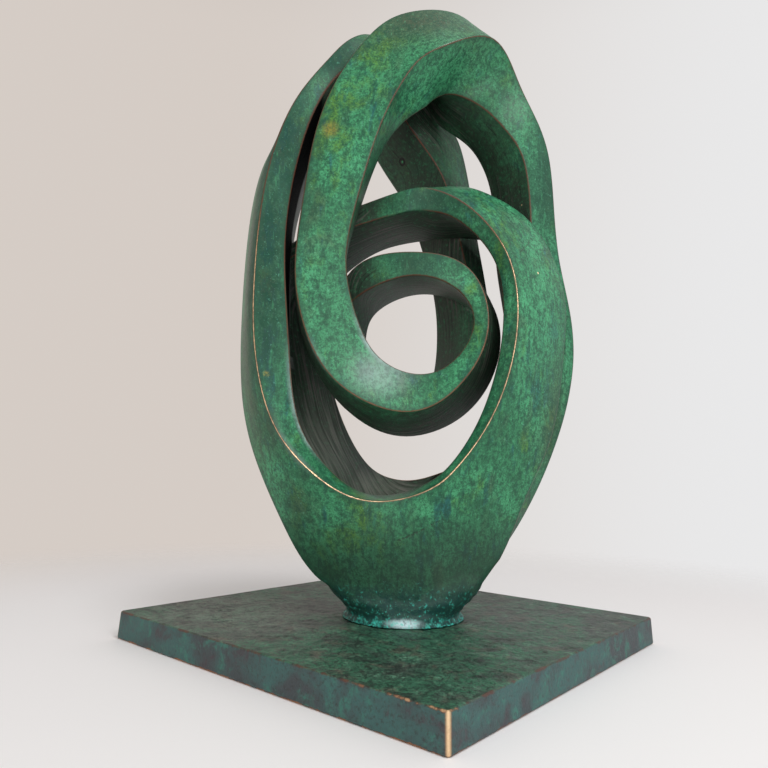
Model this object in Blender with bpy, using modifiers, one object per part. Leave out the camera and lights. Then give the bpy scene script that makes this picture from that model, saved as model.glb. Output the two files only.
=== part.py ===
"""Looped ribbon bronze on a square plinth plate.

One thick four-sided band is coiled into a tall open loop and cast as one with the ringed, flaring
foot it stands on.  It leaves a goblet-like cup, climbs both flanks, arches over at the top, drops
inwards, makes one small coil in the middle, and comes home.  On the way the band rolls by half a
turn, so its outer face runs on into its inner face.

The back of the band is the front turned by half a turn about the upright axis, apart from a few
stretches that are given on their own.
"""
import bpy
import bmesh
import numpy as np
from math import copysign, cos, radians, sin
from mathutils import Matrix

MM = 0.001

# plinth plate, in mm
PLATE_LONG = 240.0
PLATE_DEEP = 224.0
PLATE_HIGH = 16.0
PLATE_DRAFT = 0.7          # how much further each side stands out at the underside
PLATE_EDGE = 1.2           # worn edge radius
FOOT_GAP = 0.3             # clear space between the plate and the foot

# foot, in mm: the neck under the cup.  A ring holds its half-width, its half-depth, its height above
# the foot's underside and the exponent of its outline (2 is an ellipse, more is squarer).
FOOT_CENTRE = (8.0, 2.0)   # on the plate
FOOT_RINGS = ((37, 37, 0, 2), (35, 35, 2.2, 2), (34.4, 34, 4.7, 2.2), (36.5, 33.4, 7.7, 2.4),
              (40.5, 33, 11.7, 2.6), (44.5, 32.4, 15.7, 2.6), (48, 31.5, 20.7, 2.6),
              (49.5, 29, 26.7, 2.6), (44, 24, 31.7, 2.4), (30, 16, 35.7, 2))
FOOT_SIDES = 40

# band
FACING = 40.4              # degrees that the band's own frame is turned on the plate
EDGE_FLAT = 1.8            # width of the flat that breaks each long edge, in mm
RINGS_PER_STATION = 3

# A station is a cross-section of the band, in the band's own frame: x to the right, y to the back,
# z up from the surface that the plate stands on, in mm.  It holds the wide face that is given
# ("outer" or "inner"), that face's corner on the lip side, its corner on the flank side, and the
# band's thickness behind these two corners.
CUP_BOTTOM = ("outer", (-13, -42, 86), (0, -31, 20), 17, 42)
CUP_LEFT = ("outer", (-39, -42, 91), (-50.5, -16.5, 38), 12, 42)
LEFT_1 = ("outer", (-60, -42, 106), (-74, -14, 70), 14, 36)
LEFT_2 = ("outer", (-79, -42, 131), (-98, -10, 122), 17, 30)
LEFT_3 = ("outer", (-91, -42, 176), (-107, -6, 184), 21, 32)
LEFT_4 = ("outer", (-93, -40, 232), (-107, -4, 245), 18, 31)
LEFT_5 = ("outer", (-88.5, -34, 291.5), (-98.2, 0, 309), 17, 34)
LEFT_6 = ("outer", (-75, -24, 342), (-79, 9, 344), 14, 34)
LEFT_7 = ("outer", (-56, -12, 379), (-64, 19, 370), 14, 33)
BACK_CREST_1 = ("outer", (-42, 3, 405), (-54, 33, 383), 22, 33)
BACK_CREST_2 = ("outer", (-24, 28, 420), (-39, 43, 385), 30, 34)
BACK_CREST_3 = ("inner", (13, 36, 387), (-13, 17, 366), 33, 38)
DROP_1 = ("inner", (28.5, 44, 365), (-1, 20, 349), 35, 43)
DROP_2 = ("inner", (37.5, 47, 354), (13, 22, 330), 36, 43)
DROP_3 = ("inner", (46, 44, 316), (26, 22, 306), 38, 39)
DROP_4 = ("inner", (51, 26, 258), (37, 14, 254), 38, 36)
DROP_5 = ("inner", (57, 18, 200), (45, 10, 202), 41, 41)
DROP_6 = ("inner", (42, 12, 144), (31, 7, 156), 39, 46)
BACK_COIL = ("outer", (4, 40, 133), (-2, 36, 157), 37, 37)
BACK_COIL_SIDE = ("outer", (-36, 30, 192), (-27, 25, 197), 33, 33)
BACK_COIL_TOP = ("outer", (-26, 28, 230), (-18, 25, 214), 38, 38)
COIL_TOP = ("inner", (0, -21, 240), (0, -21, 224), 43, 43)
COIL_1 = ("inner", (36, -25, 229), (28, -23, 216), 40, 40)
COIL_2 = ("inner", (48, -29, 194), (39, -25, 194), 31, 33)
COIL_3 = ("inner", (31, -32, 155), (23, -26, 167), 42, 36)
COIL_4 = ("inner", (-2, -36, 137), (0, -27, 162), 37, 37)
COIL_5 = ("inner", (-45, -38, 156), (-21, -29, 174), 22, 30)
RISE_1 = ("inner", (-64, -38, 190), (-32, -32, 195), 28, 28)
RISE_2 = ("inner", (-70, -37, 226), (-39, -34, 228), 26, 24)
RISE_3 = ("inner", (-67, -36, 268), (-33, -36, 268), 26, 22)
RISE_4 = ("inner", (-57, -32, 330), (-21, -37, 313), 28, 24)
CREST_1 = ("inner", (-31, -20, 388), (-6, -39, 346), 32, 30)
CREST_2 = ("inner", (-9, -13, 411), (6, -40, 361), 34, 35)
CREST_3 = ("inner", (18, -9, 418), (22, -38, 371), 36, 38)
CREST_4 = ("inner", (45, 6, 416), (50.5, -23, 387.5), 57, 43)
CREST_5 = ("inner", (66, 30, 386), (73, -5, 368), 51, 30)
RIGHT_6 = ("inner", (75, 38, 354), (87, 2, 344), 35, 25)
RIGHT_5 = ("inner", (80, 42, 316), (96, 6, 318), 25, 23)
RIGHT_4 = ("inner", (88, 44, 254), (102, 10, 254), 27, 22)
RIGHT_3 = ("inner", (91, 42, 176), (110, 6, 184), 21, 34)
RIGHT_1 = ("inner", (60, 42, 109), (74, 14, 70), 19, 36)
BACK_CUP_LEFT = ("inner", (37, 42, 101), (46, 18, 37), 18, 42)
BACK_CUP_BOTTOM = ("inner", (10, 42, 96), (0, 31, 20), 18, 42)
BACK_CUP_RIGHT = ("inner", (-11, 42, 95), (-49, 16, 40), 14, 42)
CUP_RIGHT = ("outer", (12, -42, 93), (49, -15, 40), 10, 42)
WALL_1 = ("outer", (27, -42, 105), (73, -10, 86), 7, 32)
WALL_2 = ("outer", (44, -41, 128), (90, -8, 124), 9, 20)
WALL_3 = ("outer", (61, -40, 174), (101, -3, 182), 11, 12)
WALL_4 = ("outer", (63, -38, 213), (102, -1, 223), 11, 12)
SHOULDER_1 = ("outer", (52, -35, 246), (84, -2, 265), 11, 22)
SHOULDER_2 = ("outer", (30, -31, 270), (56, -3, 286), 12, 32)
ARCH_1 = ("outer", (11, -28, 279), (26, 0, 293), 14, 34)
ARCH_2 = ("outer", (-4, -25, 279), (0, 20, 283), 14, 22)
ARCH_3 = ("inner", (-24, 30, 270), (-28, -14, 275), 14, 14)
ARCH_4 = ("inner", (-52, 35, 246), (-62, -4, 262), 12, 14)


def half_turn(station):
    """The same cross-section on the other side of the upright axis."""
    face, lip, flank, lip_thick, flank_thick = station
    lip = (-lip[0], -lip[1], lip[2])
    flank = (-flank[0], -flank[1], flank[2])
    return ("inner" if face == "outer" else "outer", lip, flank, lip_thick, flank_thick)


def band_route():
    """All stations in order, from the arch round to the arch again."""
    front_wall = [ARCH_2, ARCH_1, SHOULDER_2, SHOULDER_1, WALL_4, WALL_3, WALL_2, WALL_1, CUP_RIGHT]
    left_side = [CUP_BOTTOM, CUP_LEFT, LEFT_1, LEFT_2, LEFT_3, LEFT_4, LEFT_5, LEFT_6, LEFT_7]
    back_crest = [BACK_CREST_1, BACK_CREST_2, BACK_CREST_3]
    drop = [DROP_1, DROP_2, DROP_3, DROP_4, DROP_5, DROP_6]
    back_coil = [BACK_COIL, half_turn(COIL_3), BACK_COIL_SIDE, BACK_COIL_TOP]
    front_coil = [COIL_TOP, COIL_1, COIL_2, COIL_3, COIL_4, COIL_5]
    crest = [RISE_1, RISE_2, RISE_3, RISE_4, CREST_1, CREST_2, CREST_3, CREST_4, CREST_5]
    right_side = [RIGHT_6, RIGHT_5, RIGHT_4, RIGHT_3, half_turn(LEFT_2), RIGHT_1]
    back_cup = [BACK_CUP_LEFT, BACK_CUP_BOTTOM, BACK_CUP_RIGHT]
    back_wall = [half_turn(s) for s in (WALL_1, WALL_2, WALL_3, WALL_4)]
    return (front_wall + left_side + back_crest + drop + back_coil + front_coil + crest
            + right_side + back_cup + back_wall + [ARCH_4, ARCH_3])


def unit(vectors):
    return vectors / np.linalg.norm(vectors, axis=-1, keepdims=True)


def station_corners(route):
    """The four corners of every station: outer flank, outer lip, inner lip, inner flank."""
    lip = np.array([s[1] for s in route], float)
    flank = np.array([s[2] for s in route], float)
    sign = np.array([[-1.0] if s[0] == "outer" else [1.0] for s in route])
    lip_thick = sign * np.array([[s[3]] for s in route])
    flank_thick = sign * np.array([[s[4]] for s in route])
    is_outer = sign < 0
    centre = (lip + flank) / 2
    for _ in range(4):                      # the faces' normals and the centre line settle together
        ahead = np.roll(centre, -1, 0) - centre
        behind = centre - np.roll(centre, 1, 0)
        far = np.linalg.norm(ahead, axis=1, keepdims=True)
        near = np.linalg.norm(behind, axis=1, keepdims=True)
        along = unit(ahead / far * near + behind / near * far)
        outwards = unit(np.cross(unit(lip - flank), along))
        lip_far = lip + outwards * lip_thick
        flank_far = flank + outwards * flank_thick
        corners = np.stack([np.where(is_outer, flank, flank_far), np.where(is_outer, lip, lip_far),
                            np.where(is_outer, lip_far, lip), np.where(is_outer, flank_far, flank)], 1)
        centre = corners.mean(axis=1)
    return corners


def smooth_rings(corners, steps):
    """A natural cubic spline through the stations, which closes with the section half rolled."""
    count = len(corners)
    rolled = np.roll(corners, 2, axis=1)
    knots = np.concatenate([rolled, corners, rolled])
    gaps = np.linalg.norm(np.diff(knots.mean(axis=1), axis=0), axis=1) ** 0.8
    values = knots.reshape(len(knots), -1)
    slopes = np.diff(values, axis=0) / gaps[:, None]
    system = np.diag(np.concatenate([[1], 2 * (gaps[:-1] + gaps[1:]), [1]]))
    for row in range(1, len(knots) - 1):
        system[row, row - 1] = gaps[row - 1]
        system[row, row + 1] = gaps[row]
    bends = np.zeros_like(values)
    bends[1:-1] = 6 * np.diff(slopes, axis=0)
    bends = np.linalg.solve(system, bends)
    rings = []
    for knot in range(count, 2 * count):
        gap = gaps[knot]
        for step in range(steps):
            after = gap * step / steps
            before = gap - after
            point = (bends[knot] * before ** 3 + bends[knot + 1] * after ** 3) / (6 * gap)
            point += (values[knot] / gap - bends[knot] * gap / 6) * before
            point += (values[knot + 1] / gap - bends[knot + 1] * gap / 6) * after
            rings.append(point.reshape(4, 3))
    return np.array(rings)


def broken_edges(rings, flat):
    """Each corner becomes two points, so that every long edge has a narrow flat."""
    inset = flat / 2 ** 0.5
    towards_last = unit(np.roll(rings, 1, axis=1) - rings)
    towards_next = unit(np.roll(rings, -1, axis=1) - rings)
    pairs = np.stack([rings + inset * towards_last, rings + inset * towards_next], axis=2)
    return pairs.reshape(len(rings), 8, 3)


def place_on_plate(bm):
    """From the band's own frame to the plate's."""
    bm.transform(Matrix.Translation((FOOT_CENTRE[0] * MM, FOOT_CENTRE[1] * MM, 0))
                 @ Matrix.Rotation(radians(FACING), 4, "Z"))


def band_mesh():
    rings = broken_edges(smooth_rings(station_corners(band_route()), RINGS_PER_STATION), EDGE_FLAT)
    bm = bmesh.new()
    loops = [[bm.verts.new(point * MM) for point in ring] for ring in rings]
    sides = len(loops[0])
    closing = loops[0][sides // 2:] + loops[0][:sides // 2]
    for here, there in zip(loops, loops[1:] + [closing]):
        for k in range(sides):
            n = (k + 1) % sides
            bm.faces.new((here[k], here[n], there[n], there[k]))
    bmesh.ops.triangulate(bm, faces=bm.faces[:])
    bmesh.ops.recalc_face_normals(bm, faces=bm.faces[:])
    place_on_plate(bm)
    mesh = bpy.data.meshes.new("looped_band")
    bm.to_mesh(mesh)
    bm.free()
    return mesh


def foot_mesh():
    """The neck as a stack of rings, closed at both ends."""
    bm = bmesh.new()
    rings = []
    for wide, deep, height, squareness in FOOT_RINGS:
        ring = []
        for side in range(FOOT_SIDES):
            angle = radians(360 * side / FOOT_SIDES)
            x = wide * copysign(abs(cos(angle)) ** (2 / squareness), cos(angle))
            y = deep * copysign(abs(sin(angle)) ** (2 / squareness), sin(angle))
            ring.append(bm.verts.new((x * MM, y * MM, (PLATE_HIGH + FOOT_GAP + height) * MM)))
        rings.append(ring)
    for lower, upper in zip(rings, rings[1:]):
        for k in range(FOOT_SIDES):
            n = (k + 1) % FOOT_SIDES
            bm.faces.new((lower[k], lower[n], upper[n], upper[k]))
    bm.faces.new(rings[0])
    bm.faces.new(rings[-1])
    bmesh.ops.triangulate(bm, faces=bm.faces[:])
    bmesh.ops.recalc_face_normals(bm, faces=bm.faces[:])
    place_on_plate(bm)
    mesh = bpy.data.meshes.new("foot")
    bm.to_mesh(mesh)
    bm.free()
    return mesh


def plate_mesh():
    bm = bmesh.new()
    bmesh.ops.create_cube(bm, size=1.0)
    for vert in bm.verts:
        draft = PLATE_DRAFT if vert.co.z < 0 else 0.0
        vert.co.x *= (PLATE_LONG + 2 * draft) * MM
        vert.co.y *= (PLATE_DEEP + 2 * draft) * MM
        vert.co.z = (vert.co.z + 0.5) * PLATE_HIGH * MM
    mesh = bpy.data.meshes.new("plinth_plate")
    bm.to_mesh(mesh)
    bm.free()
    return mesh


def finish(name, colour, roughness, metallic):
    material = bpy.data.materials.new(name)
    material.use_nodes = True
    shader = material.node_tree.nodes["Principled BSDF"]
    shader.inputs["Base Color"].default_value = (*colour, 1.0)
    shader.inputs["Roughness"].default_value = roughness
    shader.inputs["Metallic"].default_value = metallic
    return material


def add_object(name, mesh, collection, material=None):
    thing = bpy.data.objects.new(name, mesh)
    collection.objects.link(thing)
    if material:
        mesh.materials.append(material)
    return thing


def main():
    for old in list(bpy.data.objects):
        bpy.data.objects.remove(old, do_unlink=True)
    parts = bpy.data.collections.new("looped_ribbon_bronze")
    helpers = bpy.data.collections.new("union_bodies")
    bpy.context.scene.collection.children.link(parts)
    bpy.context.scene.collection.children.link(helpers)

    foot = add_object("foot", foot_mesh(), helpers)
    foot.hide_render = True
    foot.display_type = "WIRE"

    green_bronze = finish("green_bronze", (0.06, 0.19, 0.12), 0.42, 0.75)
    band = add_object("looped_band", band_mesh(), parts, green_bronze)
    cast_as_one = band.modifiers.new("cast_as_one", "BOOLEAN")
    cast_as_one.operation = "UNION"
    cast_as_one.solver = "EXACT"
    cast_as_one.use_self = True
    cast_as_one.object = foot

    dark_bronze = finish("dark_bronze", (0.05, 0.09, 0.08), 0.5, 0.7)
    plate = add_object("plinth_plate", plate_mesh(), parts, dark_bronze)
    worn = plate.modifiers.new("worn_edges", "BEVEL")
    worn.width = PLATE_EDGE * MM
    worn.segments = 3
    worn.limit_method = "ANGLE"


main()
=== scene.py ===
# Looped ribbon bronze on a square plinth plate: the fine castings, their patina, the floor, light, camera.
from math import atan2, copysign, cos, pi, radians, sin, sqrt

import bmesh
import bpy
import numpy as np
from mathutils import Matrix, Vector, noise
from mathutils.bvhtree import BVHTree


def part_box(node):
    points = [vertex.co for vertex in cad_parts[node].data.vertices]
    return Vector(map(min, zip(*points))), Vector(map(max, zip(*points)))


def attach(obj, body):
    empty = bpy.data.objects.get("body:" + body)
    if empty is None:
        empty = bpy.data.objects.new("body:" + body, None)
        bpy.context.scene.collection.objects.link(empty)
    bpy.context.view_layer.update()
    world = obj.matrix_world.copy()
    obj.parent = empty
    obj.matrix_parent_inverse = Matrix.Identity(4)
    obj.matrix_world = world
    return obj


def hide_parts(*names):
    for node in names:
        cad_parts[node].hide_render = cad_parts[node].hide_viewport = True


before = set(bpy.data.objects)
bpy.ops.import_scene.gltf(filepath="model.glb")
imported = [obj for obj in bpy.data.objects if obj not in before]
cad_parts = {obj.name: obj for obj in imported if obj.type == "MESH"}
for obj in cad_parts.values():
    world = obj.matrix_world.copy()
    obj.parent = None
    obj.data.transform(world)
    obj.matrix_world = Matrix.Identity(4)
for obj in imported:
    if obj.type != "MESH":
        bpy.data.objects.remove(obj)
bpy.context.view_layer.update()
mm = 0.001
ridgeUnit = 10.0            # mm from the nearest ridge for one unit of the ridge map

view = {
    "place": (0.25844, -0.31504, 0.09947),
    "azimuth": 40.394,
    "upwards": 8.295,
    "roll": 1.270,
    "lens": 29.77,
    "sensor": 36,
    "nearest": 0.01,        # nothing closer than this is seen, in m
}


def makeCamera():
    data = bpy.data.cameras.new("camera")
    data.lens = view["lens"]
    data.sensor_width = view["sensor"]
    data.clip_start = view["nearest"]
    thing = bpy.data.objects.new("camera", data)
    bpy.context.scene.collection.objects.link(thing)
    thing.matrix_world = (Matrix.Translation(view["place"])
                          @ Matrix.Rotation(radians(view["azimuth"]), 4, "Z")
                          @ Matrix.Rotation(radians(90 + view["upwards"]), 4, "X")
                          @ Matrix.Rotation(radians(view["roll"]), 4, "Z"))
    bpy.context.scene.camera = thing
    print("camera placed")


def makePiece(name, bm, finish):
    mesh = bpy.data.meshes.new(name)
    bm.to_mesh(mesh)
    bm.free()
    mesh.materials.append(finish)
    thing = bpy.data.objects.new(name, mesh)
    bpy.context.scene.collection.objects.link(thing)
    return thing


# The ribbon. Its own frame stands on the plate, turned by "facing": x to the right, y to the back, z up,
# in mm. A section gives the wide face that is meant, that face's corner on the lip side, its corner on
# the flank side, and how thick the ribbon is behind these two corners.
ribbon = {
    "facing": 40.4,
    "centre": (8.0, 2.0),
    "ringEvery": 3.0,       # mm between cross-sections
    "edgeRound": 1.3,       # radius of the four ridges
    "crown": 0.012,         # how far a face swells, as a share of its width
    "ridgeWear": (0.15, 1.0, 0.35, 0.1),    # how rubbed each ridge is, the cup's outer lip most
    "wearFades": (200, 290),                # heights between which the rubbing dies out
    "startFades": 40.0,                     # the ridges die out this far from where the ribbon starts
    "cupBottom": ("outer", (-13, -42, 86), (0, -31, 20), 17, 42),
    "cupLeft": ("outer", (-39, -42, 91), (-50.5, -16.5, 38), 12, 42),
    "left1": ("outer", (-60, -42, 106), (-74, -14, 70), 14, 36),
    "left2": ("outer", (-79, -42, 131), (-98, -10, 122), 17, 30),
    "left3": ("outer", (-91, -42, 176), (-107, -6, 184), 21, 32),
    "left4": ("outer", (-93, -40, 232), (-107, -4, 245), 18, 31),
    "left5": ("outer", (-88.5, -34, 291.5), (-98.2, 0, 309), 17, 34),
    "left6": ("outer", (-75, -24, 342), (-79, 9, 344), 14, 34),
    "left7": ("outer", (-56, -12, 379), (-64, 19, 370), 14, 33),
    "backCrest1": ("outer", (-42, 3, 405), (-54, 33, 383), 22, 33),
    "backCrest2": ("outer", (-24, 28, 420), (-39, 43, 385), 30, 34),
    "backCrest3": ("inner", (13, 36, 387), (-13, 17, 366), 33, 38),
    "drop1": ("inner", (28.5, 44, 365), (-1, 20, 349), 35, 43),
    "drop2": ("inner", (37.5, 47, 354), (13, 22, 330), 36, 43),
    "drop3": ("inner", (46, 44, 316), (26, 22, 306), 38, 39),
    "drop4": ("inner", (51, 26, 258), (37, 14, 254), 38, 36),
    "drop5": ("inner", (57, 18, 200), (45, 10, 202), 41, 41),
    "drop6": ("inner", (42, 12, 144), (31, 7, 156), 39, 46),
    "backCoil": ("outer", (4, 40, 133), (-2, 36, 157), 37, 37),
    "backCoilSide": ("outer", (-36, 30, 192), (-27, 25, 197), 33, 33),
    "backCoilTop": ("outer", (-26, 28, 230), (-18, 25, 214), 38, 38),
    "coilTop": ("inner", (0, -21, 240), (0, -21, 224), 43, 43),
    "coil1": ("inner", (36, -25, 229), (28, -23, 216), 40, 40),
    "coil2": ("inner", (48, -29, 194), (39, -25, 194), 31, 33),
    "coil3": ("inner", (31, -32, 155), (23, -26, 167), 42, 36),
    "coil4": ("inner", (-2, -36, 137), (0, -27, 162), 37, 37),
    "coil5": ("inner", (-45, -38, 156), (-21, -29, 174), 22, 30),
    "rise1": ("inner", (-64, -38, 190), (-32, -32, 195), 28, 28),
    "rise2": ("inner", (-70, -37, 226), (-39, -34, 228), 26, 24),
    "rise3": ("inner", (-67, -36, 268), (-33, -36, 268), 26, 22),
    "rise4": ("inner", (-57, -32, 330), (-21, -37, 313), 28, 24),
    "crest1": ("inner", (-31, -20, 388), (-6, -39, 346), 32, 30),
    "crest2": ("inner", (-9, -13, 411), (6, -40, 361), 34, 35),
    "crest3": ("inner", (18, -9, 418), (22, -38, 371), 36, 38),
    "crest4": ("inner", (45, 6, 416), (50.5, -23, 387.5), 57, 43),
    "crest5": ("inner", (66, 30, 386), (73, -5, 368), 51, 30),
    "right6": ("inner", (75, 38, 354), (87, 2, 344), 35, 25),
    "right5": ("inner", (80, 42, 316), (96, 6, 318), 25, 23),
    "right4": ("inner", (88, 44, 254), (102, 10, 254), 27, 22),
    "right3": ("inner", (91, 42, 176), (110, 6, 184), 21, 34),
    "right1": ("inner", (60, 42, 109), (74, 14, 70), 19, 36),
    "backCupLeft": ("inner", (37, 42, 101), (46, 18, 37), 18, 42),
    "backCupBottom": ("inner", (10, 42, 96), (0, 31, 20), 18, 42),
    "backCupRight": ("inner", (-11, 42, 95), (-49, 16, 40), 14, 42),
    "cupRight": ("outer", (12, -42, 93), (49, -15, 40), 10, 42),
    "wall1": ("outer", (27, -42, 105), (73, -10, 86), 7, 32),
    "wall2": ("outer", (44, -41, 128), (90, -8, 124), 9, 20),
    "wall3": ("outer", (61, -40, 174), (101, -3, 182), 11, 12),
    "wall4": ("outer", (63, -38, 213), (102, -1, 223), 11, 12),
    "shoulder1": ("outer", (52, -35, 246), (84, -2, 265), 11, 22),
    "shoulder2": ("outer", (30, -31, 270), (56, -3, 286), 12, 32),
    "arch1": ("outer", (11, -28, 279), (26, 0, 293), 14, 34),
    "arch2": ("outer", (-4, -25, 279), (0, 20, 283), 14, 22),
    "arch3": ("inner", (-24, 30, 270), (-28, -14, 275), 14, 14),
    "arch4": ("inner", (-52, 35, 246), (-62, -4, 262), 12, 14),
}
# The order in which the ribbon passes its sections. "~" is the same section half a turn round the
# upright axis.
ribbonRoute = """arch2 arch1 shoulder2 shoulder1 wall4 wall3 wall2 wall1 cupRight cupBottom cupLeft
    left1 left2 left3 left4 left5 left6 left7 backCrest1 backCrest2 backCrest3
    drop1 drop2 drop3 drop4 drop5 drop6 backCoil ~coil3 backCoilSide backCoilTop
    coilTop coil1 coil2 coil3 coil4 coil5 rise1 rise2 rise3 rise4 crest1 crest2 crest3 crest4 crest5
    right6 right5 right4 right3 ~left2 right1 backCupLeft backCupBottom backCupRight
    ~wall1 ~wall2 ~wall3 ~wall4 arch4 arch3""".split()


def routeSection(name):
    face, lip, flank, lipThick, flankThick = ribbon[name.lstrip("~")]
    if name.startswith("~"):
        face = "inner" if face == "outer" else "outer"
        lip = (-lip[0], -lip[1], lip[2])
        flank = (-flank[0], -flank[1], flank[2])
    return face, lip, flank, lipThick, flankThick


def fade(value, start, end):
    share = min(1, max(0, (value - start) / (end - start)))
    return share * share * (3 - 2 * share)


def unit(vectors):
    return vectors / np.linalg.norm(vectors, axis=-1, keepdims=True)


# four corners of every section: outer flank, outer lip, inner lip, inner flank
def sectionCorners():
    sections = [routeSection(name) for name in ribbonRoute]
    lip = np.array([s[1] for s in sections], float)
    flank = np.array([s[2] for s in sections], float)
    sign = np.array([[-1.0] if s[0] == "outer" else [1.0] for s in sections])
    lipThick = sign * np.array([[s[3]] for s in sections])
    flankThick = sign * np.array([[s[4]] for s in sections])
    isOuter = sign < 0
    centre = (lip + flank) / 2
    for _ in range(4):      # the faces' normals and the centre line settle together
        ahead = np.roll(centre, -1, 0) - centre
        behind = centre - np.roll(centre, 1, 0)
        far = np.linalg.norm(ahead, axis=1, keepdims=True)
        near = np.linalg.norm(behind, axis=1, keepdims=True)
        along = unit(ahead / far * near + behind / near * far)
        outwards = unit(np.cross(unit(lip - flank), along))
        lipFar = lip + outwards * lipThick
        flankFar = flank + outwards * flankThick
        corners = np.stack([np.where(isOuter, flank, flankFar), np.where(isOuter, lip, lipFar),
                            np.where(isOuter, lipFar, lip), np.where(isOuter, flankFar, flank)], 1)
        centre = corners.mean(axis=1)
    return corners


# a natural cubic spline through the sections, which closes with the section rolled by half a turn
def sweepCorners(corners):
    count = len(corners)
    rolled = np.roll(corners, 2, axis=1)
    knots = np.concatenate([rolled, corners, rolled])
    chords = np.linalg.norm(np.diff(knots.mean(axis=1), axis=0), axis=1)
    gaps = chords ** 0.8
    values = knots.reshape(len(knots), -1)
    slopes = np.diff(values, axis=0) / gaps[:, None]
    system = np.diag(np.concatenate([[1], 2 * (gaps[:-1] + gaps[1:]), [1]]))
    for row in range(1, len(knots) - 1):
        system[row, row - 1] = gaps[row - 1]
        system[row, row + 1] = gaps[row]
    bends = np.zeros_like(values)
    bends[1:-1] = 6 * np.diff(slopes, axis=0)
    bends = np.linalg.solve(system, bends)
    rings = []
    for knot in range(count, 2 * count):
        gap = gaps[knot]
        steps = max(2, round(chords[knot] / ribbon["ringEvery"]))
        for step in range(steps):
            after = gap * step / steps
            before = gap - after
            point = (bends[knot] * before ** 3 + bends[knot + 1] * after ** 3) / (6 * gap)
            point += (values[knot] / gap - bends[knot] * gap / 6) * before
            point += (values[knot + 1] / gap - bends[knot + 1] * gap / 6) * after
            rings.append(point.reshape(4, 3))
    return np.array(rings)


# every cross-section as a run of points with rounded ridges and slightly swollen faces, with each
# point's way round the section, its distance from the nearest ridge in mm, and which ridge that is
def roundSections(rings):
    radius = ribbon["edgeRound"]
    shares = (0, 0.03, 0.09, 0.18, 0.30, 0.43, 0.57, 0.70, 0.82, 0.91, 0.97, 1)
    points, around, ridge, nearest = [], [], [], []
    travelled = np.zeros(len(rings))
    for side in range(4):
        corner = rings[:, side]
        toNext = unit(rings[:, (side + 1) % 4] - corner)
        toLast = unit(rings[:, side - 1] - corner)
        width = np.linalg.norm(rings[:, (side + 1) % 4] - corner, axis=1)
        for bend in (0.25, 0.5, 0.75):
            points.append(corner + toLast * radius * (1 - bend) ** 2 + toNext * radius * bend ** 2)
            around.append(travelled + radius * (2 * bend - 1))
            ridge.append(np.full(len(rings), radius * abs(2 * bend - 1)))
            nearest.append(side)
        out = unit(np.cross(toNext, np.cross(toLast, toNext))) * -1
        for share in shares:
            reach = radius + (width - 2 * radius) * share
            swell = ribbon["crown"] * width * 4 * share * (1 - share)
            points.append(corner + toNext * reach[:, None] + out * swell[:, None])
            around.append(travelled + reach)
            ridge.append(np.minimum(reach, width - reach))
            nearest.append(side if share < 0.5 else (side + 1) % 4)
        travelled = travelled + width
    return np.stack(points, 1), np.stack(around, 1), np.stack(ridge, 1), travelled, nearest


def turnOntoPlate(bm):
    bm.transform(Matrix.Translation((ribbon["centre"][0] * mm, ribbon["centre"][1] * mm, 0))
                 @ Matrix.Rotation(radians(ribbon["facing"]), 4, "Z"))


def makeRibbon():
    rings = sweepCorners(sectionCorners())
    points, around, ridge, girth, nearest = roundSections(rings)
    count, sides = ridge.shape
    middle = rings.mean(axis=1)
    travelled = np.concatenate([[0], np.cumsum(np.linalg.norm(np.roll(middle, -1, 0) - middle, axis=1))])
    half = sides // 2
    points = np.concatenate([points, np.roll(points[:1], -half, axis=1)])
    ridge = np.concatenate([ridge, np.roll(ridge[:1], -half, axis=1)])
    around = np.concatenate([around, around[-1:]])
    girth = np.append(girth, girth[-1])
    bm = bmesh.new()
    bmesh.ops.create_circle(bm, segments=sides, radius=1)
    bmesh.ops.spin(bm, geom=bm.verts[:] + bm.edges[:], axis=(0, 0, 1), dvec=(0, 0, 1), angle=0, steps=count)
    streakMap = bm.loops.layers.uv.new("streak")
    ridgeMap = bm.loops.layers.uv.new("ridge")
    place = {}
    for vert in bm.verts:
        place[vert] = (round(vert.co.z), round(atan2(vert.co.y, vert.co.x) / (2 * pi) * sides) % sides)
    for face in bm.faces:
        wraps = {place[loop.vert][1] for loop in face.loops} == {0, sides - 1}
        for loop in face.loops:
            ring, k = place[loop.vert]
            across = around[ring, k] + (girth[ring] if wraps and k == 0 else 0)
            loop[streakMap].uv = (across * mm, travelled[ring] * mm)
            shown = min(1, travelled[ring] / ribbon["startFades"],
                        (travelled[-1] - travelled[ring]) / ribbon["startFades"])
            handled = ribbon["ridgeWear"][nearest[k]] * (1 - fade(points[ring, k][2], *ribbon["wearFades"]))
            loop[ridgeMap].uv = (ridge[ring, k] / ridgeUnit, shown * (0.5 + 0.5 * handled))
    for vert in bm.verts:
        ring, k = place[vert]
        vert.co = points[ring, k] * mm
    bmesh.ops.remove_doubles(bm, verts=bm.verts[:], dist=0.01 * mm)
    bmesh.ops.recalc_face_normals(bm, faces=bm.faces[:])
    turnOntoPlate(bm)
    print("ribbon drawn:", count, "sections,", len(bm.faces), "faces")
    return bm


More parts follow.
